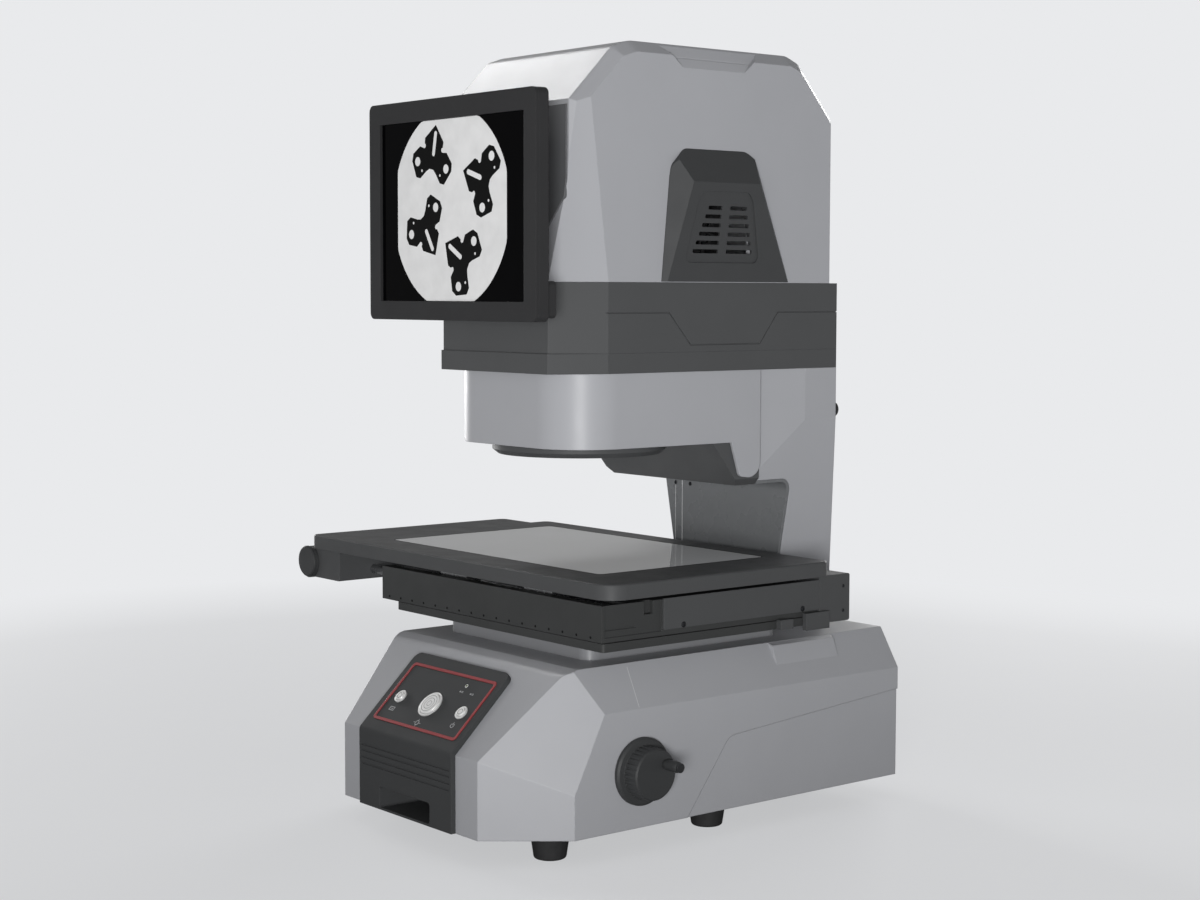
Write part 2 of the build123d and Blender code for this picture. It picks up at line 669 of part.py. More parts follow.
def make_plate():
    corner = 20.0
    points = (
        (plate_left, stage_front),
        (plate_right, stage_front),
        (plate_right, plate_rear),
        (plate_jog_x, plate_rear),
        (plate_jog_x, plate_jog_y),
        (plate_left, plate_jog_y),
    )
    plate = along_z(outline(points, ((0, 8), (1, corner), (2, 10), (3, 8), (5, 8))), plate_low, plate_top)
    plate -= along_z(rect(glass_left, glass_right, glass_front, glass_rear, 6),
                     plate_top - glass_thick, plate_top + 1)
    ledge = glass_ledge
    plate -= along_z(rect(glass_left + ledge, glass_right - ledge, glass_front + ledge,
                          glass_rear - ledge, 4), plate_low - 1, plate_top)
    rim = plate.faces().filter_by(Axis.Z).sort_by(Axis.Z)[-1].outer_wire().edges()
    plate = chamfer(rim, 1.2)
    save("stage_plate", plate)
    clear = 0.3
    save("stage_glass", along_z(rect(glass_left + clear, glass_right - clear, glass_front + clear,
                                     glass_rear - clear, 6 - clear),
                                plate_top - glass_thick, plate_top))
    blocks = []
    top = carriage_top
    for y in (x_rail_front, x_rail_rear):
        for x in (-95, 30):
            piece = block(x, x + 40, y - x_block_half, y + x_block_half, top - 6, plate_low)
            blocks.append(piece - block(x - 1, x + 41, y - 4.3, y + 4.3, top - 7, top - 0.7))
    save("x_bearing_blocks", *blocks)
    saddle_end = plate_left + 48.7
    saddle = along_y(rect(x_motor_x, saddle_end, x_motor_z - 15, plate_low, 2),
                     x_screw_y - 40, x_screw_y + 36)
    saddle -= along_y(disc(x_motor_x, x_motor_z, x_motor_radius), x_screw_y - 41, x_screw_y + 37)
    saddle -= along_x(disc(x_screw_y, screw_z, feed_screw_radius + running), saddle_end - 20, saddle_end + 1)
    save("x_drive_bracket", saddle)
    motor = along_y(disc(x_motor_x, x_motor_z, x_motor_radius), x_motor_front + 3, x_motor_front + 63)
    cap = along_y(disc(x_motor_x, x_motor_z, x_motor_radius - 1.2), x_motor_front, x_motor_front + 3)
    motor &= block(-400, 0, 0, 400, 0, plate_low - 0.05)
    save("x_motor", motor + chamfer(cap.edges().sort_by(Axis.Y)[0], 1.0))
    screw = along_x(disc(x_screw_y, screw_z, feed_screw_radius), saddle_end - 20,
                    carriage_left + x_travel + 33)
    save("x_lead_screw", screw)


def column_width(z):
    return column_half - column_taper * (column_taper_top - z)


def column_form(inset):
    """Column body drawn in by inset: leaning rear, tapering sides and the upper cheeks."""
    foot = column_width(deck_height) - inset
    side = outline(
        (
            (column_front + throat_skin + inset, deck_height),
            (column_front + throat_skin + inset, throat_top + inset),
            (housing_joint + inset, throat_top + inset),
            (housing_joint + inset, band_low),
            (column_rear - inset, band_low),
            (column_rear - inset, column_taper_top),
            (column_lean_rear - inset, column_lean_low),
            (column_foot_rear - inset, deck_height),
        ),
        ((1, throat_bend + throat_skin + 0.2 + inset),),
    )
    half = column_half - inset
    front = outline(
        (
            (-foot, deck_height),
            (foot, deck_height),
            (half, column_taper_top),
            (half, band_low),
            (-half, band_low),
            (-half, column_taper_top),
        )
    )
    body = along_x(side, -half, half) & along_y(front, 0, 500)

    def cheek(solid):
        return trim(solid, (column_half - inset, cheek_rear, 0), (column_half - inset, cheek_rear, 50),
                    (cheek_half - inset, cheek_front, 0), (0, cheek_rear, 50))

    return both_sides(cheek, body)


def make_column():
    cover = column_form(0) - column_form(column_wall)
    cover -= block(-70, 70, housing_joint - 1, column_front - 0.8, throat_top + 8, band_low + 1)
    cover -= block(-60, 60, core_front - 8, core_rear + 3, band_low - 5, band_low + 1)
    cover -= block(-core_half - 1, core_half + 1, core_front - 8, core_rear + 1,
                   deck_height - 1, deck_height + 10)
    for x in plug_places:
        cover -= along_y(disc(x, plug_z, 7), column_rear - 8, column_rear + 1)
    save("column_cover", cover)
    core = block(-core_half, core_half, core_front, core_rear, foot_height + 12, band_low - 12)
    core -= block(-34, 34, core_front + 4, core_rear + 1, foot_height + 20, band_low - 30)
    core += block(-55, 55, axis_y - 55, core_rear, band_low - 12, band_low)
    core -= along_z(disc(0, axis_y, 34), band_low - 13, band_low + 1)
    core -= block(-34, 34, axis_y + 55, core_front - 34, band_low - 13, band_low + 1)
    for side in (-1, 1):
        rib = outline(((core_front, band_low - 67), (core_front, band_low - 12),
                       (core_front - 74, band_low - 12)))
        core += along_x(rib, side * 41 - 5, side * 41 + 5)
    save("column_core", core)
    sheet_low = throat_top - throat_skin - 0.2
    sheet_high = sheet_low + throat_skin
    back = column_front + throat_skin
    bent = outline(((column_front, deck_height), (column_front, sheet_low), (housing_joint + 1, sheet_low),
                    (housing_joint + 1, sheet_high), (back, sheet_high), (back, deck_height)),
                   ((1, throat_bend), (4, throat_bend + throat_skin)))
    throat_half = column_width(sheet_high) - 0.6
    foot = column_width(deck_height) - 0.6
    face = outline(((-foot, deck_height), (foot, deck_height), (throat_half, sheet_high),
                    (-throat_half, sheet_high)))
    save("throat_panel", along_x(bent, -column_half, column_half) & along_y(face, housing_joint, back + 1))
    under_top = housing_low - 0.2
    under_rear = housing_joint - 0.2
    under_front = skirt_start - 20
    under = outline(((under_front, under_top), (skirt_y + 2, sheet_low), (under_rear, sheet_low),
                     (under_rear, under_top)))
    half = housing_half - housing_wall - 0.3
    section = outline(((-half, under_top), (-half, sheet_low + 6), (6 - half, sheet_low),
                       (half - 6, sheet_low), (half, sheet_low + 6), (half, under_top)))
    save("underside_panel", along_x(under, -half, half) & along_y(section, under_front - 1, under_rear + 1))


def make_housing():
    plan = rect(-housing_half, housing_half, housing_front, housing_rear)
    inner = rect(-housing_half + housing_wall, housing_half - housing_wall,
                 housing_front + housing_wall, housing_rear - housing_wall)

    def rounded(face, radius):
        corners = face.vertices().sort_by(Axis.Y)[:2]
        return face.fillet_2d(radius, corners)

    profile = outline(
        (
            (housing_front, housing_low),
            (skirt_start, housing_low),
            (skirt_y, skirt_low),
            (housing_rear, skirt_low - 3),
            (housing_rear, band_low),
            (housing_front, band_low),
        ),
        ((3, 14), (2, 5)),
    )
    shell = along_z(rounded(plan, housing_round), skirt_low - 10, band_low)
    shell &= along_x(profile, -housing_half, housing_half)
    shell -= along_z(rounded(inner, housing_round - housing_wall), housing_low + housing_wall, band_low + 1)
    inner_half = housing_half - housing_wall
    shell -= block(-inner_half, inner_half, skirt_start - 22, housing_rear + 1,
                   skirt_low - 10, housing_low + housing_wall + 1)
    shell -= along_z(disc(0, axis_y, ring_bore + 4), housing_low - 1, housing_low + housing_wall + 1)
    shell -= block(-60, 60, housing_rear - 18.8, housing_rear + 1, housing_low + 8, band_low + 1)
    save("lens_housing", shell)
    ring = outline(((ring_bore, ring_low + 2), (ring_bore + 3, ring_low), (ring_radius - 5, ring_low),
                    (ring_radius, ring_low + 4), (ring_radius, housing_low), (ring_bore, housing_low)))
    save("lens_ring", Pos(0, axis_y, 0) * revolve(Plane.XZ * ring, Axis.Z))
    light = disc(0, axis_y, ring_bore) - disc(0, axis_y, barrel_radius)
    light = along_z(light, ring_low + 4, housing_low + 6)
    for n in range(24):
        spot = Pos(0, axis_y, 0) * (Rot(0, 0, n * 15) * along_z(disc(52, 0, 2.5), ring_low, ring_low + 5.5))
        light -= spot
    save("ring_light", light)
    barrel = outline(((36, ring_low + 5), (barrel_radius, ring_low + 5), (barrel_radius, 352),
                      (33.8, 366), (33.8, 425), (24, 436), (24, 470), (18, 470), (18, 430), (30, 420),
                      (30, 362), (36, 348)))
    save("objective_barrel", Pos(0, axis_y, 0) * revolve(Plane.XZ * barrel, Axis.Z))
    lens = outline(((0, ring_low + 4.5), (36, ring_low + 7), (36, ring_low + 14), (0, ring_low + 14)))
    save("objective_lens", Pos(0, axis_y, 0) * revolve(Plane.XZ * lens, Axis.Z))
    camera = along_z(rect(-30, 30, axis_y - 30, axis_y + 30, 4), 470, 530)
    for z in range(480, 526, 7):
        camera -= along_z(rect(-40, 40, axis_y - 40, axis_y + 40)
                          - rect(-27, 27, axis_y - 27, axis_y + 27), z, z + 2.5)
    camera += along_z(disc(0, axis_y, 9), 530, 538)
    save("camera", camera)


def band_plan(nose, front, inset):
    shift = inset * 0.6
    points = (
        (-nose + shift, front + inset),
        (nose - shift, front + inset),
        (column_half - inset, band_chamfer_rear + inset * 0.3),
        (column_half - inset, column_rear - inset),
        (inset - column_half, column_rear - inset),
        (inset - column_half, band_chamfer_rear + inset * 0.3),
    )
    return outline(points)


def head_profile():
    """Side view of the head cover at its middle."""
    points = (
        (upper_band_front, band_high),
        (head_front, flare_top),
        (head_front, head_high - 52.5),
        (head_front + 45.5, head_high - 6.2),
        (head_front + 63.5, head_high),
        (column_rear - 59, head_high),
        (column_rear - 43, head_high - 6.2),
        (column_rear, head_high - 54.7),
        (column_rear, band_high),
    )
    return outline(points, ((3, 12), (4, 30), (5, 20), (6, 12), (7, 14), (1, 40)))


def head_form(inset):
    half = column_half - inset
    profile = offset(head_profile(), -inset, kind=Kind.INTERSECTION) if inset else head_profile()
    body = along_x(profile, -half, half)
    bounds = profile.bounding_box()
    rim = [e for e in body.edges() if abs(abs(e.center().X) - half) < 0.01
           and e.center().Z > bounds.min.Y + 1 and e.center().Y < bounds.max.X - 0.5]
    body = chamfer(rim, head_bevel - inset * (2 - 2 ** 0.5))

    def corner(solid):
        shift = inset * 0.8
        return trim(solid, (upper_band_nose - shift, upper_band_front + inset, band_high),
                    (column_half - shift, band_chamfer_rear + inset * 0.4, band_high),
                    (column_half - head_bevel - shift, head_front + inset, flare_top + 20),
                    (0, 250, 500))

    return both_sides(corner, body)


def make_head():
    lower = along_z(band_plan(lower_band_nose, lower_band_front, 0), band_low, band_step)
    lower -= along_z(band_plan(lower_band_nose, lower_band_front, band_wall), band_low + 6, band_step + 1)
    lower -= along_z(disc(0, axis_y, 34.2), band_low - 1, band_step)
    lower -= block(-40, 40, core_front - 44, core_rear - 1, band_low - 1, band_step)
    save("lower_band", lower)
    upper = along_z(band_plan(upper_band_nose, upper_band_front, 0), band_step, band_high)
    upper -= along_z(band_plan(upper_band_nose, upper_band_front, band_wall), band_step - 1, band_high + 1)
    low = band_step + 5.7
    high = band_high - 26.6
    seam = outline(((-49, high), (21, high), (46, low), (129, low), (151, high), (235, high),
                    (235, high + 1), (150.6, high + 1), (128.6, low + 1), (46.4, low + 1),
                    (21.5, high + 1), (-49, high + 1)))
    for side in (-1, 1):
        groove = Pos(0, axis_y, 0) * along_x(seam, column_half - 1, column_half + 1)
        upper -= groove if side > 0 else mirror(groove, about=Plane.YZ)
    save("upper_band", upper)
    cover = head_form(0) - head_form(head_wall)
    cover -= block(14 - column_half, column_half - 14, head_front + 36.5, column_rear - 11,
                   band_high - 1, band_high + 10)
    dip = outline(((5, head_high + 5), (27, head_high - 12), (37, head_high - 20.5),
                   (107, head_high - 20.5), (117, head_high - 12), (137, head_high + 5)))
    for side in (-1, 1):
        notch = trim(along_x(dip, column_half - 20, column_half + 1), (column_half - 9, 0, head_high),
                     (column_half - 9, 100, head_high), (column_half, 0, head_high - 20), (200, 0, head_high))
        notch = Pos(0, axis_y, 0) * notch
        cover -= notch if side > 0 else mirror(notch, about=Plane.YZ)
        duct = block(column_half - 10, column_half + 1, axis_y + 37, axis_y + 115,
                     hood_foot + 24.8, hood_foot + 72.8)
        cover -= duct if side > 0 else mirror(duct, about=Plane.YZ)
    border = outline(((-86, 545), (-60, 508), (60, 508), (86, 545), (86, 622), (-86, 622)))
    panel = along_x(head_profile(), -90, 90)
    panel = Pos(0, -1.2, 0) * panel - Pos(0, 1.6, 0) * panel
    panel &= along_y(border, head_front - 43.5, head_front + 26.5)
    save("front_panel", panel)
    save("head_cover", cover - panel)

    lean = atan2(hood_depth - hood_foot_depth, hood_shoulder - hood_foot)
    face = Plane(origin=(column_half + hood_foot_depth, 0, hood_foot), x_dir=(0, 1, 0),
                 z_dir=(cos(lean), 0, -sin(lean)))
    border = outline(((12, hood_foot), (19.7, hood_shoulder), (22.5, hood_shoulder + 14), (36.8, hood_high),
                      (110.3, hood_high), (125.7, hood_shoulder + 15), (163.3, hood_foot)),
                     ((2, 10), (3, 10), (4, 12)))
    hood = along_x(border, column_half, column_half + 30)
    inside = (column_half, 65, hood_foot + 25)
    low_x = column_half + hood_foot_depth
    high_x = column_half + hood_depth
    hood = trim(hood, (low_x, 15.7, hood_foot), (low_x, 159, hood_foot), (high_x, 35, hood_shoulder), inside)
    hood = trim(hood, (column_half, 12, hood_foot), (low_x, 15.7, hood_foot),
                (high_x, 35, hood_shoulder), inside)
    hood = trim(hood, (column_half, 163.3, hood_foot), (low_x, 159, hood_foot),
                (high_x, 113, hood_shoulder), inside)
    hood = trim(hood, (column_half, 35, hood_high), (column_half, 113, hood_high),
                (high_x, 35, hood_shoulder), inside)
    top = hood_shoulder - hood_foot + 9
    low = 16.8
    recess = outline(((33, low), (121, low), (107, top - 24), (101, top - 16), (49, top - 16),
                      (43, top - 24)), ((0, 6), (1, 6), (2, 8), (3, 8), (4, 8), (5, 8)))
    hood -= extrude(face.offset(-1.2) * recess, amount=4)
    hood -= extrude(face.offset(-3.4) * offset(recess, -3), amount=-30)
    row_low = low + 8
    for n in range(slat_count):
        z = row_low + n * slat_pitch
        spread = 0.36 * (z - row_low)
        for a0, a1 in ((42 + spread, 72), (81, 112 - spread * 0.8)):
            slot = rect(a0, a1, z, z + slat_height, 1.2)
            hood -= extrude(face * slot, amount=-6)
    hood = Pos(0, axis_y, 0) * hood
    save("vent_hoods", hood, mirror(hood, about=Plane.YZ))

    fan_x = 60.0
    fan_y = axis_y + 76
    fan_z = hood_foot + 48.8
    frame = along_x(rect(fan_y - 30, fan_y + 30, fan_z - 30, fan_z + 30, 3), fan_x, fan_x + 15)
    frame -= along_x(disc(fan_y, fan_z, 28), fan_x + 2, fan_x + 16)
    frame -= along_x(disc(fan_y, fan_z, 26) - disc(fan_y, fan_z, 12), fan_x - 1, fan_x + 3)
    for n in range(3):
        spoke = Pos(0, fan_y, fan_z) * (Rot(n * 120 + 20, 0, 0) * block(fan_x, fan_x + 2, -1.5, 1.5, 10, 27))
        frame += spoke
    frame += along_x(disc(fan_y, fan_z, 2), fan_x, fan_x + 11)
    frame += block(fan_x, fan_x + 15, fan_y - 30, fan_y + 30, band_low + 6, fan_z - 30)
    save("fan_frame", frame)
    rotor = along_x(disc(fan_y, fan_z, 11) - disc(fan_y, fan_z, 2 + running), fan_x + 3, fan_x + 13)
    blade = block(fan_x + 4, fan_x + 12, -0.8, 0.8, 10, 26)
    blade = Rot(0, 0, 0) * (Pos(fan_x + 8, 0, 0) * (Rot(0, 0, 38) * (Pos(-fan_x - 8, 0, 0) * blade)))
    for n in range(7):
        rotor += Pos(0, fan_y, fan_z) * (Rot(n * 360 / 7, 0, 0) * blade)
    save("fan_rotor", rotor)


def make_monitor():
    front = monitor_front
    back = front + monitor_thick
    screen = rect(-screen_half, screen_half, screen_low, screen_high)
    outer = rect(-monitor_half, monitor_half, monitor_low, monitor_high, 6)
    bezel = along_y(outer - screen, front, front + bezel_thick)
    save("monitor_bezel", bezel)
    shell = along_y(outer, front + bezel_thick, back)
    cavity = rect(-monitor_half + 3, monitor_half - 3, monitor_low + 3, monitor_high - 3, 3)
    shell -= along_y(cavity, front + bezel_thick - 1, back - 3)
    bar_half = monitor_half - 3
    bar_low = monitor_low + 3
    shell += along_y(rect(-bar_half, bar_half, bar_low, bar_high, 4), back - 1, back + bar_depth)
    inside = rect(3 - bar_half, bar_half - 3, bar_low + 3, bar_high - 3, 2)
    shell -= along_y(inside, back - 4, back + bar_depth - 3)
    save("monitor_shell", shell)
    panel = rect(-screen_half - 4, screen_half + 4, screen_low - 4, screen_high + 4)
    save("screen_panel", along_y(panel, front + bezel_thick, front + bezel_thick + 6))
    inner = head_front + 16.5
    mount = outline(((back, bar_high + 1), (back, screen_high - 6.5), (inner, screen_high - 22.5),
                     (inner, bar_high + 1)))
    mount = along_x(mount, -62, 62)
    mount -= Pos(0, -1.2, 0) * along_x(head_profile(), -90, 90)
    mount -= block(-100, 100, upper_band_front, inner + 10, band_step, band_high)
    save("monitor_mount", mount)


os.makedirs("parts", exist_ok=True)
make_base()
make_fascia()
make_drive()
make_lift()
make_stage_base()
make_carriage()
make_plate()
make_column()
make_housing()
make_head()
make_monitor()
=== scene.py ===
"""Studio scene of the vision measuring machine: finishes, small fittings, lights and camera.

Lengths are metres in the model's own frame; small parts are drawn in millimetres and scaled by MM.
"""

import json
from math import cos, hypot, pi, radians, sin

import bmesh
import bpy
from mathutils import Matrix, Vector
from mathutils.geometry import tessellate_polygon

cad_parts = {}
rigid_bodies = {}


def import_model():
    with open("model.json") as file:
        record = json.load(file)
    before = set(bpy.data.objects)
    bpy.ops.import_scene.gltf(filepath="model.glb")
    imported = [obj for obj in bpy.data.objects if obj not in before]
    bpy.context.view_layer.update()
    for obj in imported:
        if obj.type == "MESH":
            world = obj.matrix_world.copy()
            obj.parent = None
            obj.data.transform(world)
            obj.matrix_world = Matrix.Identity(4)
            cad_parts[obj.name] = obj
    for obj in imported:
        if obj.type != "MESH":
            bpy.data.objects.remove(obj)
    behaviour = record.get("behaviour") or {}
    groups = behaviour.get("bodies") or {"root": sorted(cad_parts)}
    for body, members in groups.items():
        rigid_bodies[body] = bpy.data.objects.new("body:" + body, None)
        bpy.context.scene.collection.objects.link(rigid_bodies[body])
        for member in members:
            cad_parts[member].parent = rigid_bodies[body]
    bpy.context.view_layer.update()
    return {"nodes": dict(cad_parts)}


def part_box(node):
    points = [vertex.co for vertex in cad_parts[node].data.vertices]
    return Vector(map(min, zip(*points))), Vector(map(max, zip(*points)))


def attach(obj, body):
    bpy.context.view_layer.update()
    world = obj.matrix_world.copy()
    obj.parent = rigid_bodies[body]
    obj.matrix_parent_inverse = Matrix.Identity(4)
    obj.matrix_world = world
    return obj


MM = 0.001
RIGHT, LEFT, BACK, UP = (1, 0, 0), (-1, 0, 0), (0, 1, 0), (0, 0, 1)

# Camera, solved from the photograph
CAMERA_PLACE = (1.52513, -1.19339, 0.46615)
CAMERA_AZIMUTH = 50.935
CAMERA_DROP = 4.157
CAMERA_ROLL = 0.112
CAMERA_LENS = 62.478
CAMERA_SHIFT = (0.0004, -0.0055)

# Lamps: place, aim, size, level and spread in degrees. A level is the share of its own colour
# that a facing surface gives back; the top lamp's narrow spread keeps it on the head.
MIDDLE = (0.05, 0.0, 0.33)
LAMPS = {
    "lamp_key": ((2.0, -1.72, 0.34), MIDDLE, 0.6, 0.66, 180),
    "lamp_top": ((-1.0, 0.03, 1.43), (0.068, 0.0, 0.62), 0.5, 0.029, 40),
    "lamp_front": ((-0.5, -2.3, 1.5), MIDDLE, 1.2, 0.04, 180),
    "lamp_rear": ((-1.1, 2.6, 0.8), MIDDLE, 1.3, 0.42, 180),
    "lamp_left": ((-3.0, 0.2, 0.6), MIDDLE, 1.0, 0.38, 180),
}

# World and floor: what diffuse rays and glossy rays see, and what the camera sees
AMBIENT = 0.12
REFLECTED = 0.3
BACKGROUND = "#e9eaec"
FLOOR_RADIUS = 9.0
FLOOR_FADE = (0.5, 1.5)
FLOOR_DULL = 0.3
FLOOR_GLOW = 0.6

# Where the small parts sit, in millimetres: the foot of the control slope, its rise along y and z,
# and the fascia's height over it; then, on the fascia, the keys' places and the signs' heights
SLOPE_ORIGIN = Vector((67.9, -219.25, 85.2)) * MM
SLOPE_RISE = (69.0, 66.4)
FASCIA_LIFT = 4.5
KEY_PITCH = 45.6
KEY_HEIGHT = 36.7
KEY_PROUD = 2.2
# Grey rings on the key caps, painted shade of their turned grooves: body, place across and radii
CAP_GROOVE_SHADE = {
    "cap_groove_shade_center": ("key_center", 0, (8.2, 5.6, 2.6)),
    "cap_groove_shade_left": ("key_left", -KEY_PITCH, (2.6,)),
    "cap_groove_shade_right": ("key_right", KEY_PITCH, (2.6,)),
}
STATUS_LAMP = (27.0, 62.5)
INK = (0.01, 0.12)

# The joint on the base's chamfer, drawn as a bright line that is a painted highlight, in millimetres, and
# the chamfer's outward direction
CHAMFER_JOINT = ((197.6, -85.85, 152.7), (217.1, -88.65, 121.8))
CHAMFER_OUT = (0.846, 0, 0.533)

# In metres: the throat panel's face, the monitor screws' inset, the ring light's lamps, and the
# carriage's notch, from the side cover's front and the carriage's top
THROAT_FACE = 0.1425
MONITOR_INSET = 0.015
LED_CIRCLE = 0.052
LED_COUNT = 24
LED_DEEP = 0.0045
NOTCH_BACK = 0.1441
NOTCH_REACH = 0.019
NOTCH_DEEP = 0.011

# The picture on the screen, in millimetres from the screen's middle: the round field, the sides
# that cut it, and place, turn and size of each workpiece
FIELD = (-2.0, 1.7, 86.0)
FIELD_CUT = ((-81.0, 79.0), (-77.0, 77.0))
WORKPIECES = ((-27.0, 47.4, -10.9, 0.96), (43.2, 24.4, 72.5, 0.98), (-36.9, -15.7, -148.7, 0.96),
              (14.1, -41.3, 59.4, 0.98))

# The edge setting lightens the rounded edges: partly rubbed paint, partly a painted edge highlight
FINISHES = {
    "light_paint": dict(code="#a9aaae", rough=0.4, mottle=0.012, grain=1500, bump=0.1, round_edge=0.0012,
                        wear=0.25, spread=0.02, Specular_IOR_Level=0.3),
    "band_paint": dict(code="#4e4f50", rough=0.45, mottle=0.02, grain=2200, bump=0.18, round_edge=0.0008,
                       wear=0.5, Specular_IOR_Level=0.25),
    "hood_plastic": dict(code="#404142", rough=0.46, mottle=0.02, grain=2600, bump=0.2, wear=0.45,
                         Specular_IOR_Level=0.2),
    "fascia_plastic": dict(code="#434445", rough=0.55, grain=2600, bump=0.16, round_edge=0.0008,
                           wear=0.45, Specular_IOR_Level=0.1),
    "bezel_plastic": dict(code="#313132", rough=0.5, grain=2600, bump=0.2, round_edge=0.0007, wear=0.4,
                          Specular_IOR_Level=0.15),
    "knob_plastic": dict(code="#3b3c3d", rough=0.5, mottle=0.04, grain=1800, bump=0.2, round_edge=0.0005,
                         wear=0.5, Specular_IOR_Level=0.25),
    "plate_paint": dict(code="#4c4d4e", rough=0.5, mottle=0.02, grain=3000, bump=0.16, round_edge=0.0007,
                        wear=0.6, Specular_IOR_Level=0.2),
    "stage_paint": dict(code="#3b3c3c", rough=0.5, grain=2600, bump=0.16, wear=0.5, Specular_IOR_Level=0.2),
    "throat_paint": dict(code="#6c6e70", rough=0.28, mottle=0.02, grain=2400, bump=0.14,
                         round_edge=0.0008, wear=0.4),
    "plinth_paint": dict(code="#828386", rough=0.4, mottle=0.015, grain=1800, bump=0.1, round_edge=0.001,
                         wear=0.3),
    "pin_steel": dict(code="#4b4c4e", rough=0.35, metal=0.8, mottle=0.06, patch=200, bump=0.1,
                      round_edge=0.0003),
    "panel_paint": dict(code="#626365", rough=0.45, mottle=0.02, grain=2200, bump=0.18, round_edge=0.0008,
                        wear=0.5),
    "cast_iron": dict(code="#54575a", rough=0.6, mottle=0.08, patch=60, grain=420, bump=0.35,
                      depth=0.0004, round_edge=0.0015, wear=0.6),
    "steel": dict(code="#b9babc", rough=0.24, metal=1.0, mottle=0.05, patch=70, grain=260,
                  stretch=(1.0, 1.0, 14.0), bump=0.08, round_edge=0.0003),
    "chrome": dict(code="#f4f4f3", rough=0.42, metal=0.55, mottle=0.02, patch=120, grain=1500, bump=0.04,
                   depth=0.00005, round_edge=0.0004, spread=0.03),
    "brass": dict(code="#c19a55", rough=0.3, metal=1.0, mottle=0.06, patch=90, bump=0.08,
                  round_edge=0.0004),
    "aluminium": dict(code="#b4b6b8", rough=0.34, metal=1.0, mottle=0.05, patch=60, grain=1400, bump=0.1,
                      round_edge=0.0005),
    "rubber": dict(code="#232324", rough=0.8, mottle=0.12, patch=90, grain=1500, bump=0.35, depth=0.0002,
                   round_edge=0.0008),
    "red": dict(code="#93292e", rough=0.42, mottle=0.04, patch=50, grain=2400, bump=0.1, round_edge=0.0003),
    "stage_glass": dict(code="#f6f7f8", rough=0.04, mottle=0.012, patch=12, grain=60, bump=0.005,
                        round_edge=0.0005, spread=0.01, Transmission_Weight=0.05, IOR=1.5),
    "lens_glass": dict(code="#2a3038", rough=0.03, mottle=0.02, patch=40, grain=40, bump=0.005,
                       round_edge=0.0003, spread=0.01, Coat_Weight=1.0, IOR=1.6),
    "diffuser": dict(code="#dcdcd8", rough=0.5, mottle=0.02, grain=1800, bump=0.1, round_edge=0.0004,
                     Subsurface_Weight=0.2),
    "screen": dict(code="#020203", rough=0.12, mottle=0.1, patch=30, grain=3000, bump=0.03, depth=0.00005,
                   round_edge=0.0003, spread=0.03, Specular_IOR_Level=0.05),
    # Near black: the glass joint and the carriage's small screws, and painted shade in the carriage's notch
    "near_black_and_painted_shade": dict(code="#0b0c0c", rough=0.7, mottle=0.08, grain=1500, bump=0.2, round_edge=0.0003,
                        Specular_IOR_Level=0.1),
    "screw_black": dict(code="#232427", rough=0.35, metal=0.6, mottle=0.08, patch=200, grain=1500,
                        bump=0.1, round_edge=0.0002),
    "mark_ink": dict(code="#a9aaab", rough=0.5, mottle=0.05, grain=3000, bump=0.08, round_edge=0.0001),
    # Grey lines on the key caps: painted shade of their turned grooves
    "painted_cap_groove_shade": dict(code="#8d8e8f", rough=0.4, metal=0.6, mottle=0.05, patch=200, grain=2000, bump=0.08,
                     round_edge=0.0001),
    # Bright lines along the joints: a painted highlight
    "seam": dict(code="#c8c9ca", rough=0.4, mottle=0.05, grain=3000, bump=0.08, round_edge=0.0001),
    "lamp_green": dict(code="#6a7a4c", rough=0.2, mottle=0.06, patch=400, grain=800, bump=0.05,
                       round_edge=0.0002, Transmission_Weight=0.3),
    "led": dict(code="#e6e2c8", rough=0.2, mottle=0.05, patch=400, bump=0.05, round_edge=0.0003,
                Transmission_Weight=0.3),
    "picture_shape": dict(code="#020202", rough=0.4, mottle=0.1, grain=3000, bump=0.03, depth=0.00005,
                          round_edge=0.0001, Specular_IOR_Level=0.1),
}

# CAD nodes that take each finish
DRESS = {
    "light_paint": ("base_cover", "side_panels", "column_cover", "lens_housing", "head_cover"),
    "plinth_paint": ("plinth",),
    "band_paint": ("lower_band", "upper_band", "underside_panel"),
    "panel_paint": ("front_panel",),
    "hood_plastic": ("vent_hoods",),
    "fascia_plastic": ("front_fascia",),
    "bezel_plastic": ("monitor_bezel", "monitor_shell", "monitor_mount", "power_inlet", "mains_switch",
                      "rear_sockets", "fan_frame", "fan_rotor", "ring_light"),
    "knob_plastic": ("handwheel", "crank_grip", "x_motor"),
    "pin_steel": ("crank_pin",),
    "plate_paint": ("stage_plate", "x_drive_bracket", "lens_ring", "y_drive_housing", "stage_side_cover"),
    "stage_paint": ("stage_carriage", "stage_base"),
    "throat_paint": ("throat_panel",),
    "cast_iron": ("base_frame", "column_core"),
    "steel": ("guide_columns", "handwheel_shaft", "lift_screw", "drive_bearings", "x_rails", "y_rails",
              "x_lead_screw", "y_lead_screw", "x_bearing_blocks", "y_bearing_blocks"),
    "chrome": ("button_center", "button_left", "button_right", "button_rings"),
    "brass": ("lift_bushes", "feed_nuts"),
    "aluminium": ("backlight_housing", "camera", "objective_barrel"),
    "rubber": ("rubber_feet",),
    "red": ("control_border",),
    "stage_glass": ("stage_glass",),
    "lens_glass": ("objective_lens",),
    "diffuser": ("backlight_diffuser",),
    "screen": ("screen_panel",),
}


def linear(code):
    """Linear colour of an #rrggbb code."""
    parts = [int(code[n:n + 2], 16) / 255 for n in (1, 3, 5)]
    return [c / 12.92 if c <= 0.04045 else ((c + 0.055) / 1.055) ** 2.4 for c in parts]


def shade(colour, factor):
    """A colour made lighter or darker, with its alpha."""
    return [min(1.0, c * factor) for c in colour] + [1.0]


def empty_scene():
    """Remove what the start-up scene holds."""
    for item in list(bpy.data.objects):
        bpy.data.objects.remove(item)


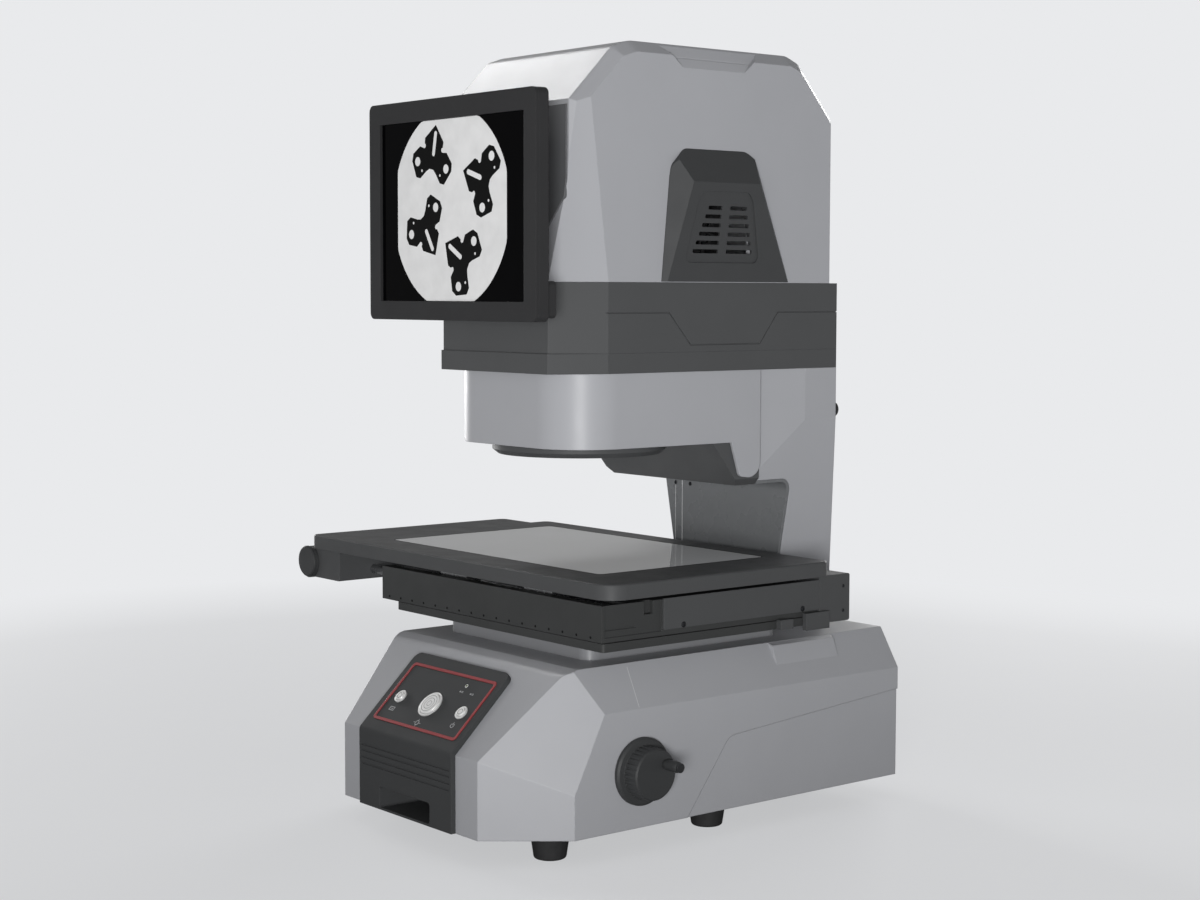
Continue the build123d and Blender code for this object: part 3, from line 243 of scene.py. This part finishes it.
def make_camera():
    """The camera of the photograph."""
    data = bpy.data.cameras.new("photo_camera")
    data.lens = CAMERA_LENS
    data.shift_x, data.shift_y = CAMERA_SHIFT
    data.clip_start = 0.05
    data.clip_end = 60
    camera = bpy.data.objects.new("photo_camera", data)
    turn = Matrix.Rotation(radians(CAMERA_AZIMUTH), 4, "Z")
    drop = Matrix.Rotation(radians(90 - CAMERA_DROP), 4, "X")
    roll = Matrix.Rotation(radians(CAMERA_ROLL), 4, "Z")
    camera.matrix_world = Matrix.Translation(CAMERA_PLACE) @ turn @ drop @ roll
    bpy.context.scene.collection.objects.link(camera)
    bpy.context.scene.camera = camera


class Nodes:
    """A material's node tree with short calls for the nodes used here."""

    def __init__(self, name):
        self.material = bpy.data.materials.new(name)
        self.material.use_nodes = True
        self.tree = self.material.node_tree
        self.tree.nodes.clear()
        self.output = self.add("ShaderNodeOutputMaterial")
        self.place = self.add("ShaderNodeTexCoord").outputs["Object"]

    def add(self, kind, links=None, **values):
        node = self.tree.nodes.new(kind)
        for key, value in values.items():
            if hasattr(node, key):
                setattr(node, key, value)
            else:
                node.inputs[key.replace("_", " ").title()].default_value = value
        for key, source in (links or {}).items():
            self.tree.links.new(source, node.inputs[key])
        return node

    def noise(self, scale, detail=3.0, stretch=None):
        place = self.place
        if stretch:
            place = self.add("ShaderNodeMapping", {"Vector": place}, Scale=stretch).outputs[0]
        node = self.add("ShaderNodeTexNoise", {"Vector": place}, Scale=scale, Detail=detail, Roughness=0.5)
        return node.outputs["Fac"]

    def ramp(self, source, stops):
        node = self.add("ShaderNodeValToRGB", {"Fac": source})
        elements = node.color_ramp.elements
        while len(elements) < len(stops):
            elements.new(0.5)
        for element, (place, colour) in zip(elements, stops):
            element.position = place
            element.color = colour
        return node.outputs["Color"]

    def span(self, source, low, high, start=0.0, end=1.0):
        node = self.add("ShaderNodeMapRange", {"Value": source})
        for key, value in (("From Min", start), ("From Max", end), ("To Min", low), ("To Max", high)):
            node.inputs[key].default_value = value
        return node.outputs["Result"]

    def edges(self, radius):
        """Rounded normal, and how far it leaves the flat one."""
        bevel = self.add("ShaderNodeBevel", samples=4)
        bevel.inputs["Radius"].default_value = radius
        flat = self.add("ShaderNodeNewGeometry").outputs["Normal"]
        dot = self.add("ShaderNodeVectorMath", operation="DOT_PRODUCT")
        self.tree.links.new(bevel.outputs[0], dot.inputs[0])
        self.tree.links.new(flat, dot.inputs[1])
        return bevel.outputs[0], self.span(dot.outputs["Value"], 1.0, 0.0, 0.72, 0.985)

    def close(self, shader):
        self.tree.links.new(shader.outputs[0], self.output.inputs["Surface"])
        return self.material


def finish(name, code, rough, metal=0.0, mottle=0.03, patch=18.0, grain=900.0, bump=0.05, depth=0.0001,
           stretch=None, round_edge=0.0006, wear=0.0, spread=0.05, **sockets):
    """Painted, moulded or machined surface: mottled colour, uneven gloss, fine grain, rounded edges, and
    lighter edges that are partly rubbed paint and partly a painted edge highlight.

    patch and grain are the scales of the mottle and the grain, depth and round_edge are metres.
    """
    nodes = Nodes(name)
    colour = linear(code)
    stops = [(0.32, shade(colour, 1 - mottle)), (0.68, shade(colour, 1 + mottle))]
    base = nodes.ramp(nodes.noise(patch, 4.0), stops)
    normal, edge = nodes.edges(round_edge)
    # Edges lighter by 1.6 in ragged patches along the rounded edges: partly rubbed paint, partly a painted
    # edge highlight
    if wear:
        wear_and_highlight_mask = nodes.add("ShaderNodeMath", {0: edge, 1: nodes.noise(240.0, 3.0)}, operation="MULTIPLY")
        mix = nodes.add("ShaderNodeMix", data_type="RGBA", clamp_factor=True)
        nodes.tree.links.new(nodes.span(wear_and_highlight_mask.outputs[0], 0.0, wear, 0.1, 0.6), mix.inputs[0])
        nodes.tree.links.new(base, mix.inputs[6])
        mix.inputs[7].default_value = shade(colour, 1.6)
        base = mix.outputs[2]
    gloss = nodes.span(nodes.noise(patch * 2.3, 3.0), rough - spread, rough + spread, 0.3, 0.7)
    height = nodes.noise(grain, 2.0, stretch)
    relief = nodes.add("ShaderNodeBump", {"Height": height, "Normal": normal}, Strength=bump, Distance=depth)
    shader = nodes.add("ShaderNodeBsdfPrincipled",
                       {"Base Color": base, "Roughness": gloss, "Normal": relief.outputs[0]})
    shader.inputs["Metallic"].default_value = metal
    for key, value in sockets.items():
        shader.inputs[key.replace("_", " ")].default_value = value
    return nodes.close(shader)


def glowing(name, code, strength):
    """A lit surface whose brightness wanders a little."""
    nodes = Nodes(name)
    colour = linear(code)
    tint = nodes.ramp(nodes.noise(60.0, 3.0), [(0.3, shade(colour, 0.94)), (0.7, shade(colour, 1.04))])
    shader = nodes.add("ShaderNodeBsdfPrincipled", {"Base Color": tint, "Emission Color": tint})
    shader.inputs["Roughness"].default_value = 0.5
    shader.inputs["Specular IOR Level"].default_value = 0.1
    shader.inputs["Emission Strength"].default_value = strength
    return nodes.close(shader)


def piece(name, verts, faces, material, body, smooth=False):
    """A mesh piece in the model's frame that rides on a body."""
    mesh = bpy.data.meshes.new(name)
    mesh.from_pydata([tuple(v) for v in verts], [], faces)
    work = bmesh.new()
    work.from_mesh(mesh)
    bmesh.ops.recalc_face_normals(work, faces=work.faces)
    work.to_mesh(mesh)
    work.free()
    if smooth:
        mesh.shade_smooth()
    mesh.materials.append(material)
    item = bpy.data.objects.new(name, mesh)
    bpy.context.scene.collection.objects.link(item)
    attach(item, body)
    return item


def frame_of(origin, along, up):
    """Matrix whose x runs along, y along up, z out, at origin."""
    x = Vector(along).normalized()
    z = x.cross(Vector(up)).normalized()
    y = z.cross(x)
    matrix = Matrix((x, y, z)).transposed().to_4x4()
    return Matrix.Translation(origin) @ matrix


def plate_faces(loops, low, high, matrix):
    """Vertices and faces of a thin plate: outer loop, then holes, in millimetres on the matrix's plane."""
    flat = [point for loop in loops for point in loop]
    count = len(flat)
    verts = [matrix @ (Vector((x, y, z)) * MM) for z in (low, high) for x, y in flat]
    triangles = tessellate_polygon([[Vector((x, y, 0)) for x, y in loop] for loop in loops])
    faces = [tuple(t) for t in triangles] + [tuple(count + n for n in t) for t in triangles]
    start = 0
    for loop in loops:
        size = len(loop)
        for n in range(size):
            a, b = start + n, start + (n + 1) % size
            faces.append((a, b, count + b, count + a))
        start += size
    return verts, faces


def join(parts):
    """One list of vertices and faces from several."""
    verts, faces = [], []
    for more_verts, more_faces in parts:
        shift = len(verts)
        verts += more_verts
        faces += [tuple(n + shift for n in face) for face in more_faces]
    return verts, faces


def plates(shapes, low, high, matrix):
    """Several thin plates in one list of vertices and faces; each shape is a list of loops."""
    return join([plate_faces(loops, low, high, matrix) for loops in shapes])


def arc_loop(x, y, radius, start, step, count):
    """Points along an arc, angles in degrees."""
    turns = [radians(start + step * n) for n in range(count)]
    return [(x + radius * cos(a), y + radius * sin(a)) for a in turns]


def ring_loop(x, y, radius, count=24):
    return arc_loop(x, y, radius, 0, 360 / count, count)


def ring(x, y, outer, inner, count=24):
    """Outer and inner loop of a flat ring."""
    return [ring_loop(x, y, outer, count), ring_loop(x, y, inner, count)]


def bar_loop(x0, x1, y0, y1):
    """Rectangle."""
    return [(x0, y0), (x1, y0), (x1, y1), (x0, y1)]


def revolved(profile, matrix, count=24):
    """Solid turned from (radius, height) points in millimetres about the matrix's z axis."""
    verts, rows, faces = [], [], []
    for radius, height in profile:
        if radius == 0:
            rows.append([len(verts)])
            verts.append(matrix @ (Vector((0, 0, height)) * MM))
        else:
            rows.append(list(range(len(verts), len(verts) + count)))
            verts += [matrix @ (Vector((x, y, height)) * MM) for x, y in ring_loop(0, 0, radius, count)]
    for low, high in zip(rows, rows[1:]):
        for n in range(count):
            m = (n + 1) % count
            if len(low) == 1:
                faces.append((low[0], high[m], high[n]))
            elif len(high) == 1:
                faces.append((low[n], low[m], high[0]))
            else:
                faces.append((low[n], low[m], high[m], high[n]))
    return verts, faces


def screw_head(matrix, radius, proud):
    """Socket button head with a round hole."""
    hole = radius * 0.5
    profile = [(radius, -0.3), (radius, proud * 0.35), (radius * 0.85, proud * 0.8), (radius * 0.6, proud),
               (hole, proud), (hole, proud * 0.25), (0, proud * 0.2)]
    return revolved(profile, matrix, 18)


def screws(name, places, along, radius, proud, material, body):
    """A set of equal screws at points in metres, on an upright face whose run is along."""
    parts = [screw_head(frame_of(Vector(p), along, UP), radius, proud) for p in places]
    verts, faces = join(parts)
    piece(name, verts, faces, material, body)


def make_materials():
    """Every finish by name."""
    m = {name: finish(name, **values) for name, values in FINISHES.items()}
    m["picture_field"] = glowing("picture_field", "#c6c6c6", 0.36)
    return m


def dress_nodes(m):
    """Give the CAD nodes their finishes."""
    for key, names in DRESS.items():
        for name in names:
            for slot in frame["nodes"][name].material_slots:
                slot.material = m[key]


def bracket_loops():
    """Outline, slot and holes of the two-armed workpiece on the screen, its corner upwards."""
    half = [(14.5, 13.5), (14.2, 8.8), (12.4, 7.6), (12.2, 5.6), (14, 4.2), (21, 5), (30.5, -3),
            (31, -10), (22, -23), (15.5, -23), (7.5, -15.5), (3, -12.6)]
    outer = [(0, 27)] + half + [(-x, y) for x, y in reversed(half)]
    ends = [(-2.3 * cos(a), 2.3 * sin(a)) for a in [radians(18 * n) for n in range(11)]]
    slot = [(1 + x, 19.5 + y) for x, y in ends] + [(1 - x, 1.5 - y) for x, y in ends]
    holes = [ring_loop(x, -9, 4.2, 20) for x in (-22.5, 22.5)]
    pins = [ring_loop(x, -16, 1.3, 10) for x in (-14.3, 14.3)]
    return [outer, slot] + holes + pins


def moved(loop, x, y, turn, size):
    """A loop scaled, turned by degrees and shifted."""
    along, across = size * cos(radians(turn)), size * sin(radians(turn))
    return [(x + px * along - py * across, y + px * across + py * along) for px, py in loop]


def make_screen_picture(m):
    """A round, side-cut field of view with four workpieces in silhouette."""
    low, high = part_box("screen_panel")
    middle = Vector(((low.x + high.x) / 2, low.y, (low.z + high.z) / 2))
    plane = frame_of(middle, RIGHT, UP)
    (left, right), (foot, top) = FIELD_CUT
    loop = [(min(max(x, left), right), min(max(y, foot), top)) for x, y in ring_loop(*FIELD, 120)]
    clean = [p for n, p in enumerate(loop) if hypot(p[0] - loop[n - 1][0], p[1] - loop[n - 1][1]) > 0.01]
    verts, faces = plate_faces([clean], 0.1, 0.3, plane)
    piece("screen_field", verts, faces, m["picture_field"], "machine")
    parts = []
    for place in WORKPIECES:
        loops = [moved(loop, *place) for loop in bracket_loops()]
        parts.append(plate_faces(loops, 0.35, 0.5, plane))
    verts, faces = join(parts)
    piece("screen_shapes", verts, faces, m["picture_shape"], "machine")


def make_status_lamp(m, plane):
    """Small lamp in its bright ring."""
    lamp = plane @ Matrix.Translation(Vector((*STATUS_LAMP, 0)) * MM)
    verts, faces = revolved([(1.7, -0.3), (1.7, 0.35), (1.3, 0.4), (1.25, 0.2)], lamp, 20)
    piece("status_lamp_ring", verts, faces, m["chrome"], "machine")
    verts, faces = revolved([(1.25, -0.2), (1.2, 0.3), (0.8, 0.65), (0, 0.85)], lamp, 20)
    piece("status_lamp", verts, faces, m["lamp_green"], "machine", smooth=True)


def make_cap_groove_shade(m, plane):
    """Thin grey rings on the keys' caps: painted shade standing for the shade in their turned grooves."""
    for name, (body, x, radii) in CAP_GROOVE_SHADE.items():
        cap = plane @ Matrix.Translation(Vector((x, KEY_HEIGHT, KEY_PROUD)) * MM)
        verts, faces = plates([ring(0, 0, r + 0.22, r - 0.22, 40) for r in radii], -0.02, 0.06, cap)
        piece(name, verts, faces, m["painted_cap_groove_shade"], body)


def make_signs(m, plane):
    """Plain signs: bars and rings at the lamp, a sheet, a cross mark and a switch mark at the keys."""
    shapes = []
    for x, y in ((25.6, 56.0), (40.5, 56.0)):
        shapes += [[bar_loop(x - 2.2, x - 0.4, y - 0.7, y + 0.7)], ring(x + 1.6, y, 1.0, 0.6, 16)]
    sheet = (bar_loop(-3.5, 3.5, -2.0, 2.0), bar_loop(-2.8, 2.8, -1.3, 1.3))
    shapes.append([moved(loop, -KEY_PITCH, 23.6, 0, 1) for loop in sheet])
    shapes.append([bar_loop(-47.4, -43.8, 23.3, 23.9)])
    shapes.append(ring(0, 17, 2.6, 2.0))
    for sides in ((-5, -1.2, 16.75, 17.25), (1.2, 5, 16.75, 17.25), (-0.25, 0.25, 18.2, 21),
                  (-0.25, 0.25, 13, 15.8)):
        shapes.append([bar_loop(*sides)])
    outside = arc_loop(KEY_PITCH, 23.4, 2.4, 130, 14, 21)
    inside = arc_loop(KEY_PITCH, 23.4, 1.8, 410, -14, 21)
    shapes += [[outside + inside], [bar_loop(45.3, 45.9, 23.6, 26.6)]]
    verts, faces = plates(shapes, *INK, plane)
    piece("button_signs", verts, faces, m["mark_ink"], "machine")


def make_fascia_details(m):
    """Lamp, painted groove shade on the keys' caps, and signs on the sloped control field."""
    rise = Vector((0, *SLOPE_RISE)).normalized()
    out = Vector(RIGHT).cross(rise)
    plane = frame_of(SLOPE_ORIGIN + out * FASCIA_LIFT * MM, RIGHT, rise)
    make_status_lamp(m, plane)
    make_cap_groove_shade(m, plane)
    make_signs(m, plane)


def make_screws(m):
    """Small fixings that the model leaves out; places are metres, radius and height millimetres."""
    carriage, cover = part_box("stage_carriage")[0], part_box("stage_side_cover")[1]
    housing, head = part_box("y_drive_housing")[1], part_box("head_cover")[1]
    shell_low, shell_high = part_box("monitor_shell")
    front = [(carriage.x + 0.012 + n * 0.0187, carriage.y, carriage.z + 0.0032) for n in range(17)]
    side = [(cover.x, y, 0.187) for y in (-0.0422, 0.0978)]
    drive = [(housing.x - 0.0054, housing.y - 0.008, z) for z in (0.181, 0.203)]
    rear = [(x, head.y, z) for x in (-0.008, 0.1438) for z in (0.49, 0.6)]
    monitor = [(x, shell_high.y, z) for x in (shell_low.x + MONITOR_INSET, shell_high.x - MONITOR_INSET)
               for z in (shell_low.z + MONITOR_INSET, shell_high.z - MONITOR_INSET)]
    for name, places, along, radius, proud, key, body in (
            ("carriage_front_screws", front, RIGHT, 1.1, 0.3, "near_black_and_painted_shade", "carriage"),
            ("side_cover_screws", side, BACK, 2.6, 0.6, "screw_black", "carriage"),
            ("drive_housing_screws", drive, BACK, 1.6, 0.5, "screw_black", "lift"),
            ("head_rear_screws", rear, LEFT, 3.0, 1.0, "screw_black", "machine"),
            ("monitor_screws", monitor, LEFT, 2.5, 0.9, "screw_black", "machine")):
        screws(name, places, along, radius, proud, m[key], body)


def make_seams(m):
    """Joint lines and screws of the throat panel, and the joint across the base's chamfer; the joint lines
    are bright, a painted highlight along the joints.
    """
    low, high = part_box("throat_panel")
    face = Vector((low.x / 2 + high.x / 2, THROAT_FACE, 0))
    seam = frame_of(face, RIGHT, UP)
    parts = [plate_faces([bar_loop(-60.9, -60.1, 212, 284)], 0.01, 0.12, seam),
             plate_faces([bar_loop(-70.6, -70.0, 212, 279)], 0.01, 0.06, seam)]
    top, foot = (Vector(point) * MM for point in CHAMFER_JOINT)
    run, out = foot - top, Vector(CHAMFER_OUT)
    chamfer = frame_of(top + out * 0.05 * MM, run, out.cross(run))
    parts.append(plate_faces([bar_loop(0, run.length / MM, -0.25, 0.25)], -0.1, 0.08, chamfer))
    verts, faces = join(parts)
    piece("joint_highlight_lines", verts, faces, m["seam"], "machine")
    places = [face + Vector((x, 0, 281)) * MM for x in (-70.3, -49.1)]
    screws("throat_screws", places, RIGHT, 2.0, 0.7, m["screw_black"], "machine")


def rounded_loop(x0, x1, y0, y1, radius):
    """Rectangle with round corners."""
    loop = []
    for n, (x, y) in enumerate(((x1 - radius, y1 - radius), (x0 + radius, y1 - radius),
                                (x0 + radius, y0 + radius), (x1 - radius, y0 + radius))):
        loop += arc_loop(x, y, radius, 90 * n, 90 / 8, 9)
    return loop


def make_glass_joint(m):
    """Dark joint round the glass."""
    low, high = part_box("stage_glass")
    size = (high - low) / MM
    plane = frame_of(Vector((low.x, low.y, high.z)), RIGHT, BACK)
    loops = [rounded_loop(-grow, size.x + grow, -grow, size.y + grow, 5.7 + grow) for grow in (0.75, -0.35)]
    verts, faces = plate_faces(loops, 0.01, 0.08, plane)
    piece("glass_joint", verts, faces, m["near_black_and_painted_shade"], "table")


def make_notch_painted_shade(m):
    """Painted shade: a near-black sheet on the back and walls of the notch in the carriage's right side,
    where shade falls.
    """
    top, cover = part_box("stage_carriage")[1].z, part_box("stage_side_cover")[0].y
    plane = frame_of(Vector((NOTCH_BACK, cover - NOTCH_REACH, top - NOTCH_DEEP)), BACK, UP)
    back = bar_loop(0.1, 9.4, 0.1, 10.9)
    wall = [(0.1, 0.1), (9.4, 0.1), (9.4, 10.9), (9.1, 10.9), (9.1, 0.4), (0.4, 0.4), (0.4, 10.9),
            (0.1, 10.9)]
    verts, faces = join([plate_faces([back], 0.0, 0.2, plane), plate_faces([wall], 0.3, 4.6, plane)])
    piece("notch_painted_shade", verts, faces, m["near_black_and_painted_shade"], "carriage")


def make_ring_light_leds(m):
    """One small lamp in each hole of the ring light."""
    low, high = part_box("ring_light")
    middle = (low + high) / 2
    profile = [(2.2, 0.9), (2.2, 0), (1.8, -1.2), (1.0, -2.0), (0, -2.3)]
    circle = ring_loop(middle.x, middle.y, LED_CIRCLE, LED_COUNT)
    places = [Matrix.Translation((x, y, low.z + LED_DEEP)) for x, y in circle]
    verts, faces = join([revolved(profile, place, 14) for place in places])
    piece("ring_light_leds", verts, faces, m["led"], "machine", smooth=True)


def area_lamp(name, place, aim, size, level, spread):
    """A square soft lamp."""
    data = bpy.data.lights.new(name, "AREA")
    data.size = size
    data.spread = radians(spread)
    way = Vector(aim) - Vector(place)
    data.energy = level * pi ** 2 * way.length_squared
    lamp = bpy.data.objects.new(name, data)
    lamp.location = place
    lamp.rotation_euler = way.to_track_quat("-Z", "Y").to_euler()
    bpy.context.scene.collection.objects.link(lamp)


def make_light():
    """The lamps, and a world that is pale to the camera and darker to diffuse and glossy rays."""
    for name, values in LAMPS.items():
        area_lamp(name, *values)
    world = bpy.data.worlds.new("studio")
    world.use_nodes = True
    tree = world.node_tree
    tree.nodes.clear()
    shown = tree.nodes.new("ShaderNodeBackground")
    shown.inputs["Color"].default_value = shade(linear(BACKGROUND), 1)
    path = tree.nodes.new("ShaderNodeLightPath")
    for ray, level in (("Is Diffuse Ray", AMBIENT), ("Is Glossy Ray", REFLECTED)):
        dim = tree.nodes.new("ShaderNodeBackground")
        dim.inputs["Color"].default_value = (level, level, level, 1)
        mix = tree.nodes.new("ShaderNodeMixShader")
        tree.links.new(path.outputs[ray], mix.inputs[0])
        tree.links.new(shown.outputs[0], mix.inputs[1])
        tree.links.new(dim.outputs[0], mix.inputs[2])
        shown = mix
    output = tree.nodes.new("ShaderNodeOutputWorld")
    tree.links.new(shown.outputs[0], output.inputs[0])
    bpy.context.scene.world = world


def make_floor():
    """A pale disc that fades into the background away from the machine."""
    nodes = Nodes("floor")
    away = nodes.add("ShaderNodeVectorMath", {0: nodes.place}, operation="LENGTH").outputs["Value"]
    fade = nodes.span(away, 0.0, 1.0, *FLOOR_FADE)
    colour = linear(BACKGROUND)
    tint = nodes.ramp(nodes.noise(9.0, 4.0), [(0.3, shade(colour, 0.985)), (0.7, shade(colour, 1.0))])
    seen = nodes.add("ShaderNodeLightPath").outputs["Is Camera Ray"]
    dull = nodes.add("ShaderNodeMix", {0: seen}, data_type="RGBA")
    dull.inputs[6].default_value = shade(colour, FLOOR_DULL)
    nodes.tree.links.new(tint, dull.inputs[7])
    ground = nodes.add("ShaderNodeBsdfPrincipled", {"Base Color": dull.outputs[2]})
    ground.inputs["Roughness"].default_value = 0.75
    far = nodes.add("ShaderNodeEmission", Color=shade(colour, 1))
    glow = nodes.span(seen, 0.0, FLOOR_GLOW)
    lift = nodes.add("ShaderNodeMath", {0: glow, 1: fade}, operation="MAXIMUM")
    mix = nodes.add("ShaderNodeMixShader", {0: lift.outputs[0], 1: ground.outputs[0], 2: far.outputs[0]})
    material = nodes.close(mix)
    loop = ring_loop(0, 0, FLOOR_RADIUS, 96)
    mesh = bpy.data.meshes.new("floor")
    mesh.from_pydata([(x, y, 0.0) for x, y in loop], [], [tuple(range(len(loop)))])
    mesh.materials.append(material)
    floor = bpy.data.objects.new("floor", mesh)
    bpy.context.scene.collection.objects.link(floor)


empty_scene()
make_camera()
bpy.context.scene.view_settings.view_transform = "Standard"
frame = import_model()

materials = make_materials()
dress_nodes(materials)
make_screen_picture(materials)
make_fascia_details(materials)
make_screws(materials)
make_seams(materials)
make_glass_joint(materials)
make_notch_painted_shade(materials)
make_ring_light_leds(materials)
make_light()
make_floor()
